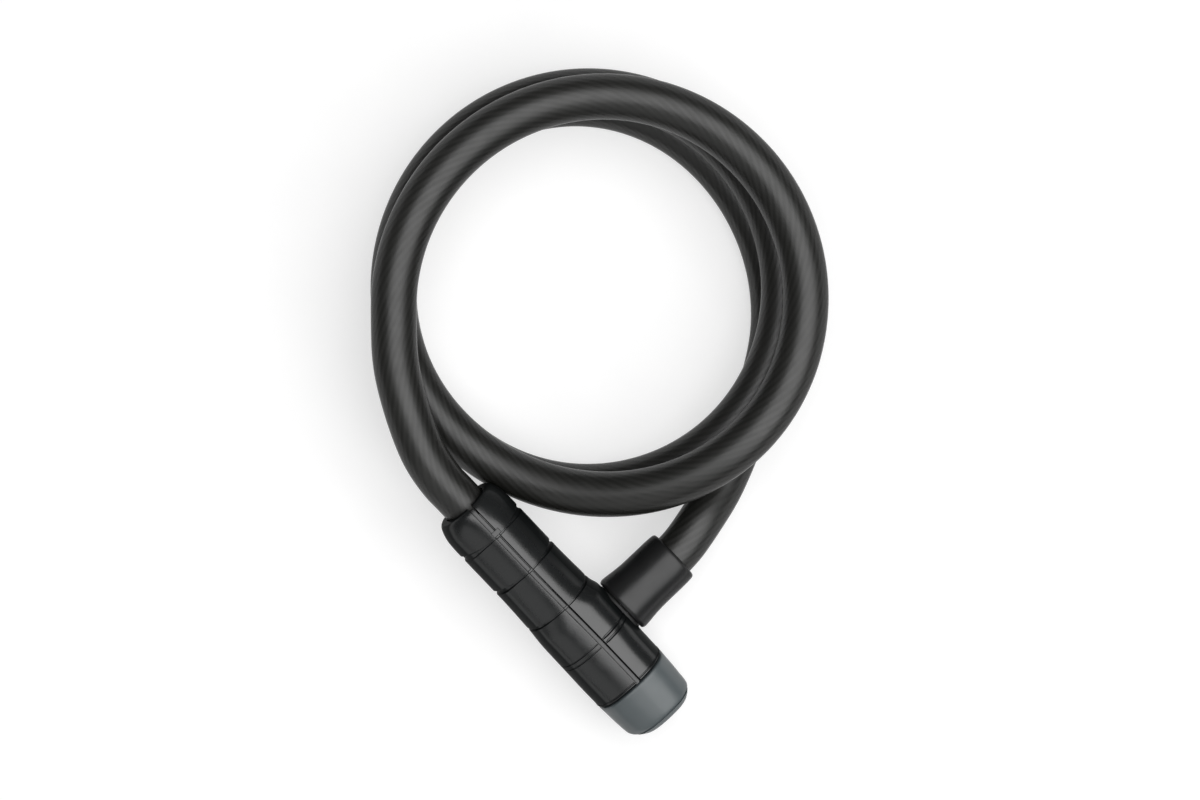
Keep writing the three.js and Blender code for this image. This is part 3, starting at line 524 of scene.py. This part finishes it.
def casing_stations():
    """Places along the casing, close together where a line is pressed into it."""
    fine = [0, 0.12, 0.3, 0.6, 1.0, 1.4, 1.8, 2.4, 3.0, 3.4] + list(np.arange(4, 79, 0.8))
    for ring in RINGS:
        fine += list(np.arange(ring["side_start"] - 0.1, ring["side_end"] + 0.15, 0.07))
    for line in BAND:
        fine += list(line + np.arange(-0.5, 0.51, 0.07))
    fine += list(END_LIP + np.arange(-0.42, 0.7, 0.07))
    fine += [80.6, 80.7, 80.8, 80.9, 80.96, CASING_LENGTH]
    stations = np.unique(np.round(fine, 3))
    stations = stations[np.concatenate([[True], np.diff(stations) > 0.03])]
    stations[-1] = CASING_LENGTH
    return stations


def section_at(at, radius, angle):
    """Points round the body's axis at one place along it."""
    return np.stack([np.full(len(angle), at), radius * np.cos(angle), radius * np.sin(angle)], -1)


def outer_section(at, side, share):
    """Outside of one half shell, rounded off at its seams and at the cap's end."""
    angle = shell_angles(at, float(outline_at(at)), side, share)
    radius = casing_radius(at, angle)
    if side > 0:
        flat = np.minimum(radius, flat_side(angle))
        radius = np.where(np.cos(angle) > FLAT_FACES, flat, radius)
    rounding = SHELL_EDGE[side]
    from_edge = np.minimum(share, 1 - share) * math.pi * radius
    edge = rounding * (1 - np.sqrt(1 - np.clip(1 - from_edge / rounding, 0, 1) ** 2))
    end = END_ROUND * (1 - float(step_up(0, END_ROUND, CASING_LENGTH - at)))
    return section_at(at, radius - edge - end, angle)


def casing_half(name, side):
    """One half shell, side 1 towards the socket and -1 away from it."""
    near = np.array([0, 0.0008, 0.002, 0.004, 0.008, 0.014])
    share = np.concatenate([near, np.linspace(0.02, 0.98, 150), 1 - near[::-1]])
    rings = [outer_section(at, side, share) for at in casing_stations()]
    for at, bore in SHELL_BORE[::-1]:
        rings.append(section_at(at, bore, shell_angles(at, bore, side, share)))
    rows, columns = len(rings), len(share)
    last = (rows - 1) * columns
    faces = grid_faces(rows, columns, False)
    faces += [(last + k, last + k + 1, k + 1, k) for k in range(columns - 1)]
    for column in (0, columns - 1):
        faces.append(tuple(row * columns + column for row in range(rows)))
    piece = mesh_object(name, in_body(np.concatenate(rings)), faces, 38)
    tidy_mesh(piece, 38)
    return piece


casing_left = casing_half("casing_shell_left", -1)
casing_right = casing_half("casing_shell_right", 1)

socket_profile = [(5, 0.0), (5, SOCKET_RADIUS), (16.5, SOCKET_RADIUS), (16.5, 0.0)]
cut_from(casing_right, turned("socket_cutter", socket_profile, in_ferrule, 64))
smooth_over(casing_right, 38)


def rolled(at, section, turn):
    """A section of (across, up) points, rolled by turn about the body's axis."""
    c, s = math.cos(turn), math.sin(turn)
    return [(at, y * c - z * s, y * s + z * c) for y, z in section]


def seam_strip(name, half_turns):
    """A spine of the carrier, which shows between the half shells."""
    stations = [[STRIP_STARTS, 1.3, 1.8, 2.5], np.arange(3.3, STRIP_ENDS, 0.8), [STRIP_ENDS]]
    stations += [ring["line"] + np.arange(-0.8, 0.81, 0.1) for ring in RINGS]
    low, high = STRIP
    points = []
    for at in np.unique(np.concatenate(stations)):
        top = float(outline_at(at)) - 0.04
        for ring in RINGS:
            top += float(crease(at - ring["line"], 2.2 * ring["half"], 0.3))
        section = [
            (low, STRIP_FOOT), (low, top - 0.16), (low + 0.05, top - 0.05), (low + 0.16, top),
            (high - 0.3, top), (high - 0.08, top - 0.1), (high, top - 0.3), (high, STRIP_FOOT),
        ]
        points += rolled(at, section, seam_at(at) - math.pi / 2 + half_turns * math.pi)
    return lofted(name, in_body(points), len(section), 50)


def seam_tab(name):
    """A thin plate over the upper seam, next to the first ring."""
    start, end = TAB
    points = []
    for at, sunk in ((start, TAB_EDGE), (start + TAB_EDGE, 0), (end - TAB_EDGE, 0), (end, TAB_EDGE)):
        top = float(outline_at(at)) + TAB_HEIGHT - sunk
        heights = [math.sqrt(top**2 - y * y) for y in TAB_ACROSS]
        heights[0] -= TAB_EDGE
        heights[-1] -= TAB_EDGE
        section = [(TAB_ACROSS[0], TAB_FOOT), *zip(TAB_ACROSS, heights), (TAB_ACROSS[-1], TAB_FOOT)]
        points += rolled(at, section, seam_at(at) - math.pi / 2 - TAB_ROLL)
    return lofted(name, in_body(points), len(section), 30)


strip_top = seam_strip("carrier_strip_top", 0)
tab = seam_tab("seam_tab")
strip_bottom = seam_strip("carrier_strip_bottom", 1)

# ---------------------------------------------------------------- cap, cover, ferrule, bolt, seal

BODY_END = 98.5
cap_profile = [
    (81.4, 13.2), (81.5, 13.5), (81.7, 13.75), (82, 13.86), (83, 13.8), (84, 13.72),
    (86, 13.65), (88, 13.57), (90, 13.43), (92.2, 13.25), (93.2, 13.18, 0.04),
    (94.2, 13.08, 0.08), (95.2, 12.7, 0.28), (95.6, 12.4, 0.36), (95.75, 11.85, 0.38),
    (96.25, 11.4, 0.42), (96.4, 11.7, 0.45), (97.2, 10.9, 0.55), (98.0, 9.85, 0.55),
    (98.3, 9.45, 0.52), (BODY_END, 9.1, 0.5), (BODY_END, 7.2, 0.3), (BODY_END, 6.55),
    (98.4, 6.37), (98.2, 6.3), (96.6, 6.3), (96.6, 5.2), (95.7, 5.2), (95.7, 8.5),
    (83.9, 8.5), (83.9, 10.9), (81.4, 10.9),
]
# Height of the cap's end above its axis: it falls off later than the sides do
CAP_TOP = (
    (94.2, 13.08), (95.2, 12.98), (95.6, 12.85), (95.75, 12.25), (96.25, 12.05), (96.4, 12.5),
    (97.2, 11.9), (98.0, 11.0), (98.3, 10.0), (BODY_END, 8.7),
)
# Powers of the cap's section on its two sides
CAP_SQUARE_RIGHT = 2.85
CAP_SQUARE_LEFT = 2.6


def cap_reach(at, radius, angles):
    """Squares the outside of the cap; its hollow and its seat in the casing stay round."""
    inside = radius < 9 or (at < 84.5 and radius < 12)
    if inside:
        return np.ones_like(angles)
    tall = along(CAP_TOP, at) / radius if at > CAP_TOP[0][0] else 1.0
    dip = LEFT_HOLLOW * seam_dip(0.4 - radius * np.cos(angles)) * (np.sin(angles) > 0)
    return squared_reach(angles, CAP_SQUARE_RIGHT, CAP_SQUARE_LEFT, tall) - dip / radius


cap = turned("key_cap", cap_profile, in_body, 128, 38, cap_reach)

# From the middle of the cover's inner face round to the middle of its outer face
cover_profile = smooth_profile(
    [
        (97.3, 0.0), (97.3, 3.9), (94.65, 3.9), (94.65, 4.9), (96.9, 4.9), (96.9, 6.0),
        (98.4, 6.0), (98.4, 0.0),
    ],
    {6: 0.45},
)
KEY_SLOT = ((-1.2, -3.7), (1.2, -3.7), (1.2, 3.7), (-1.2, 3.7))


def keyhole_cover():
    """The turning disc in the cap's end, with the slot for the key."""
    piece = turned("keyhole_disc", cover_profile, in_body, 72)
    outline = smooth_profile(KEY_SLOT, dict.fromkeys(range(len(KEY_SLOT)), 0.9), 6)
    points = [(x, y, z) for x in (94.0, 100.0) for y, z in outline]
    cut_from(piece, lofted("keyhole_cutter", in_body(points), len(outline), 35))
    smooth_over(piece, 35)
    return piece


cover = keyhole_cover()

sleeve_profile = [
    (14.5, 4.3), (14.5, 9.6), (14.55, 9.9), (14.75, 10.15), (15, 10.3), (15.4, 10.48), (16, 10.58),
    (17, 10.5), (18, 10.4), (20, 10.15), (22, 9.97), (24, 9.83), (26, 9.79), (28, 9.78),
    (34, 9.78), (36, 9.73), (37.3, 9.65), (38, 9.56), (38.5, 9.38), (38.8, 9.1), (38.95, 8.8),
    (39, 8.55), (FERRULE_END, 8.0), (38.85, 7.83), (38.6, 7.8), (FERRULE_MOUTH, 7.8),
    (FERRULE_MOUTH, 7.5), (15.7, 7.5), (15.7, 4.3),
]
sleeve = turned("ferrule_shell", sleeve_profile, in_ferrule, 112, 38)

bolt_profile = smooth_profile(
    [
        (-6.5, 0.0), (-6.5, 2.4), (-4.3, 4.0), (-3.2, 4.0), (-3.2, 2.3), (0.2, 2.3), (0.2, 4.0),
        (24, 4.0), (24, 0.0),
    ],
    {1: 0.4, 2: 0.5, 3: 0.2, 6: 0.25},
)
bolt = turned("bolt_turned", bolt_profile, in_ferrule, 64)

seal_profile = smooth_profile(
    [
        (11.3, 5.1), (11.3, 7.0), (13.4, 7.0), (13.4, 9.1), (14.42, 9.1), (14.42, 6.4),
        (13.8, 5.1), (13.2, 4.5), (11.9, 4.5),
    ],
    {0: 0.3, 4: 0.3, 5: 0.3, 6: 0.4, 7: 0.4, 8: 0.4},
)
seal = turned("seal_ring", seal_profile, in_ferrule, 64)

# ---------------------------------------------------------------- materials


class Look:
    """Builds a node material a few steps at a time; link() takes a socket or a constant."""

    def __init__(self, name, **constants):
        self.material = bpy.data.materials.new(name)
        self.material.use_nodes = True
        self.nodes = self.material.node_tree.nodes
        self.links = self.material.node_tree.links
        self.shader = self.nodes["Principled BSDF"]
        for socket, value in constants.items():
            self.shader.inputs[socket.replace("_", " ")].default_value = value

    def link(self, value, socket):
        if isinstance(value, bpy.types.NodeSocket):
            self.links.new(value, socket)
        else:
            socket.default_value = value

    def node(self, kind, settings=(), **inputs):
        made = self.nodes.new(kind)
        for key, value in dict(settings).items():
            setattr(made, key, value)
        for socket, value in inputs.items():
            self.link(value, made.inputs[socket.replace("_", " ")])
        return made

    def place(self):
        return self.node("ShaderNodeTexCoord").outputs["Object"]

    def noise(self, scale, detail=3.0, rough=0.5, vector=None):
        made = self.node("ShaderNodeTexNoise", Scale=scale, Detail=detail, Roughness=rough)
        self.link(vector or self.place(), made.inputs["Vector"])
        return made.outputs["Fac"]

    def ramp(self, value, stops):
        """Turns a value into a colour or a grey, between stops of (position, colour or grey)."""
        made = self.node("ShaderNodeValToRGB", Fac=value)
        elements = made.color_ramp.elements
        while len(elements) < len(stops):
            elements.new(0.5)
        for element, (position, colour) in zip(elements, stops):
            element.position = position
            colour = colour if hasattr(colour, "__len__") else (colour,) * 3
            element.color = (*colour, 1.0)
        return made.outputs["Color"]

    def mix(self, share, one, other):
        """A colour between one, a socket, and other, a constant."""
        made = self.node("ShaderNodeMix", {"data_type": "RGBA"})
        share_in, one_in, other_in = (made.inputs[k] for k in (0, 6, 7))
        self.link(share, share_in)
        self.link(one, one_in)
        self.link((*other, 1.0), other_in)
        return made.outputs[2]

    def math(self, operation, *values):
        made = self.node("ShaderNodeMath", {"operation": operation})
        for value, socket in zip(values, made.inputs):
            self.link(value, socket)
        return made.outputs[0]

    def satin(self, rough, spread, faint):
        """Roughness and mirror image that change where the skin is seen edge on."""
        edge_on = self.node("ShaderNodeLayerWeight", Blend=0.5).outputs["Facing"]
        change = self.math("MULTIPLY", self.ramp(edge_on, [(0.12, 0.0), (0.5, 1.0)]), spread)
        self.to("Roughness", self.math("ADD", rough, change))
        mirror = self.ramp(edge_on, [(0.26, 0.5), (0.43, faint), (0.7, faint * 0.35)])
        self.to("Specular IOR Level", mirror)

    def bump(self, height, distance, strength=1.0, normal=None):
        made = self.node("ShaderNodeBump", Strength=strength, Distance=distance, Height=height)
        if normal is not None:
            self.link(normal, made.inputs["Normal"])
        return made.outputs["Normal"]

    def to(self, socket, value):
        self.links.new(value, self.shader.inputs[socket])


def moulded(name, dark, light, rough, rim=(0.1, 0.3), **constants):
    """Moulded satin plastic: fine spark-eroded grain, slow colour drift, and rubbed places."""
    look = Look(name, **constants)
    drift = look.noise(55.0, 4.0, 0.55)
    look.to("Base Color", look.ramp(drift, [(0.32, dark), (0.68, light)]))
    rub = look.noise(160.0, 5.0, 0.65)
    look.satin(look.ramp(rub, [(0.3, rough[0]), (0.7, rough[1])]), *rim)
    grain = look.noise(2600.0, 2.0, 0.6)
    waves = look.bump(look.noise(90.0, 2.0, 0.5), 0.00012, 0.35)
    look.to("Normal", look.bump(grain, 0.00003, 0.6, waves))
    return look.material


casing_look = moulded(
    "casing", (0.0074, 0.0084, 0.0086), (0.0098, 0.0110, 0.0112), (0.21, 0.27), (0.15, 0.02),
    IOR=1.68,
)
strip_look = moulded(
    "carrier", (0.015, 0.0155, 0.016), (0.019, 0.0195, 0.02), (0.21, 0.27), (0.15, 0.02), IOR=1.6
)
cap_look = moulded(
    "cap", (0.076, 0.091, 0.096), (0.092, 0.108, 0.113), (0.33, 0.41), (0.0, 0.4), IOR=1.6
)
ferrule_look = moulded(
    "ferrule", (0.0105, 0.0107, 0.011), (0.0135, 0.0137, 0.014), (0.3, 0.38), (-0.05, 0.12), IOR=1.5
)

# Strands round the cable, and how many of them cross a line along it in one LAY_UNIT
STRANDS = 20.0
STRANDS_PER_LAY_UNIT = 21.0


def sheath():
    """Smoke-dark glossy sheath: the laid strand under it shows as faint slanting bands."""
    look = Look("sheath", IOR=1.6)
    uv = look.node("ShaderNodeUVMap", {"uv_map": "lay"}).outputs["UV"]
    split = look.node("ShaderNodeSeparateXYZ", Vector=uv)
    run = look.math("MULTIPLY", split.outputs["X"], STRANDS_PER_LAY_UNIT)
    turn = look.math("MULTIPLY", split.outputs["Y"], STRANDS)
    phase = look.math("MULTIPLY", look.math("ADD", run, turn), 2 * math.pi)
    strand = look.math("MULTIPLY_ADD", look.math("SINE", phase), 0.5, 0.5)
    cloud = look.noise(75.0, 4.0, 0.6)
    tone = look.ramp(cloud, [(0.3, (0.0078, 0.0079, 0.0068)), (0.7, (0.0118, 0.0119, 0.0104))])
    under = look.mix(look.math("MULTIPLY", strand, 0.35), tone, (0.022, 0.022, 0.0205))
    look.to("Base Color", under)
    rub = look.noise(210.0, 4.0, 0.6)
    worn = look.ramp(rub, [(0.3, 0.34), (0.7, 0.41)])
    look.satin(look.math("ADD", worn, look.math("MULTIPLY", strand, 0.08)), -0.12, 0.2)
    lay = look.bump(strand, 0.000025, 0.6)
    look.to("Normal", look.bump(look.noise(900.0, 3.0, 0.6), 0.00003, 0.5, lay))
    return look.material


sheath_look = sheath()


def metal(name, dark, light, rough, scale=(1.0, 1.0, 14.0), **constants):
    """Bare metal: fine tool marks and a slow change of tone."""
    look = Look(name, Metallic=1.0, **constants)
    spread = look.node("ShaderNodeMapping", Vector=look.place())
    spread.inputs["Scale"].default_value = scale
    marks = look.noise(420.0, 3.0, 0.6, spread.outputs["Vector"])
    look.to("Base Color", look.ramp(look.noise(120.0, 3.0), [(0.3, dark), (0.7, light)]))
    look.to("Roughness", look.ramp(marks, [(0.3, rough[0]), (0.7, rough[1])]))
    look.to("Normal", look.bump(marks, 0.00002, 0.4))
    return look.material


steel_look = metal("steel", (0.52, 0.53, 0.54), (0.66, 0.67, 0.68), (0.2, 0.36))
zinc_look = metal("zinc", (0.38, 0.39, 0.40), (0.50, 0.51, 0.52), (0.4, 0.6), (1.0, 1.0, 1.0))
brass_look = metal("brass", (0.52, 0.37, 0.16), (0.68, 0.50, 0.24), (0.22, 0.38))
rubber_look = moulded("rubber", (0.014, 0.014, 0.014), (0.022, 0.022, 0.022), (0.6, 0.8), IOR=1.48)

# ---------------------------------------------------------------- what rides on what


def dress(piece, look, body, slot, *nodes):
    """Gives a piece its material and its body, and hides the solids that it stands in for; slot is not
    used.
    """
    piece.data.materials.clear()
    piece.data.materials.append(look)
    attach(piece, body)
    if nodes:
        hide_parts(*nodes)


dress(casing_left, casing_look, "lock_body", "casing_plastic", "casing_left")
dress(casing_right, casing_look, "lock_body", "casing_plastic", "casing_right")
dress(strip_top, strip_look, "lock_body", "carrier_plastic")
dress(tab, strip_look, "lock_body", "carrier_plastic")
dress(strip_bottom, strip_look, "lock_body", "carrier_plastic")
dress(cap, cap_look, "lock_body", "cap_plastic", "end_cap")
dress(cover, cap_look, "keyhole_cover", "cap_plastic", "keyhole_cover")
dress(sleeve, ferrule_look, "ferrule", "ferrule_plastic", "ferrule_sleeve")
dress(bolt, steel_look, "ferrule", "steel", "ferrule_bolt")
dress(seal, rubber_look, "lock_body", "seal_rubber", "socket_seal")
dress(cable, sheath_look, "lock_body", "cable_sheath", "cable_lock_lead", "cable_coil")

lead.data.materials.append(sheath_look)
tuple(in_ferrule((FERRULE_END + 8, 0, 0)) * MM)
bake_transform(lead)
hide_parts("cable_ferrule_lead")

tuple(in_body((0, 0, 0)) * MM)
tuple(in_ferrule((FERRULE_END, 0, 0)) * MM)

LOOKS = {
    "carrier_plastic": strip_look, "steel": steel_look, "zinc": zinc_look, "brass": brass_look,
    "casing_plastic": casing_look, "cap_plastic": cap_look, "cable_sheath": sheath_look,
    "ferrule_plastic": ferrule_look, "seal_rubber": rubber_look,
}
for part in frame["record"]["subparts"]:
    node = frame["nodes"][part["node"]]
    node.data.materials.clear()
    node.data.materials.append(LOOKS[part["material_slot"]])

# ---------------------------------------------------------------- floor and light

FLOOR_REACH = 12.0
FLOOR_BELOW = 0.0002
FLOOR_GLOW = 0.56
floor_corners = [(x * FLOOR_REACH, y * FLOOR_REACH, 0) for x, y in ((-1, -1), (1, -1), (1, 1), (-1, 1))]
floor_mesh = bpy.data.meshes.new("floor")
floor_mesh.from_pydata(floor_corners, [], [(0, 1, 2, 3)])
floor = bpy.data.objects.new("floor", floor_mesh)
floor.location.z = -FLOOR_BELOW
bpy.context.collection.objects.link(floor)
# The floor glows only where it is looked at or mirrored, and keeps the shadow
paper = Look("paper", Roughness=0.9, IOR=1.3, Emission_Color=(1, 1, 1, 1))
fleck = paper.noise(40.0, 3.0)
paper.to("Base Color", paper.ramp(fleck, [(0.3, 0.50), (0.7, 0.52)]))
path = paper.node("ShaderNodeLightPath")
seen = paper.math("ADD", path.outputs["Is Camera Ray"], path.outputs["Is Glossy Ray"])
seen = paper.math("ADD", seen, path.outputs["Is Transmission Ray"])
paper.to("Emission Strength", paper.math("MULTIPLY", paper.math("MINIMUM", seen, 1.0), FLOOR_GLOW))
floor.data.materials.append(paper.material)


def soft_box(name, place, target, size, power, turn=0.0):
    """A rectangular lamp aimed at a target and turned about the upright, in degrees."""
    lamp = bpy.data.lights.new(name, "AREA")
    lamp.shape = "RECTANGLE"
    lamp.size, lamp.size_y = size
    lamp.energy = power
    box = bpy.data.objects.new(name, lamp)
    box.location = place
    box.rotation_euler = (Vector(target) - Vector(place)).to_track_quat("-Z", "Y").to_euler()
    box.rotation_euler.z += math.radians(turn)
    bpy.context.collection.objects.link(box)


soft_box(
    "overhead", place=(1.007, -0.269, 1.7), target=(1.007, -0.269, 0.0), size=(3.32, 1.9),
    power=54.0, turn=-40.5,
)
soft_box(
    "front_fill", place=(-0.75, -1.85, 1.35), target=(0.0, 0.05, 0.0), size=(2.2, 1.8), power=6.0
)

world = bpy.data.worlds.new("room")
bpy.context.scene.world = world
world.use_nodes = True
background = world.node_tree.nodes["Background"]
background.inputs["Color"].default_value = (1, 1, 1, 1)
background.inputs["Strength"].default_value = 0.08
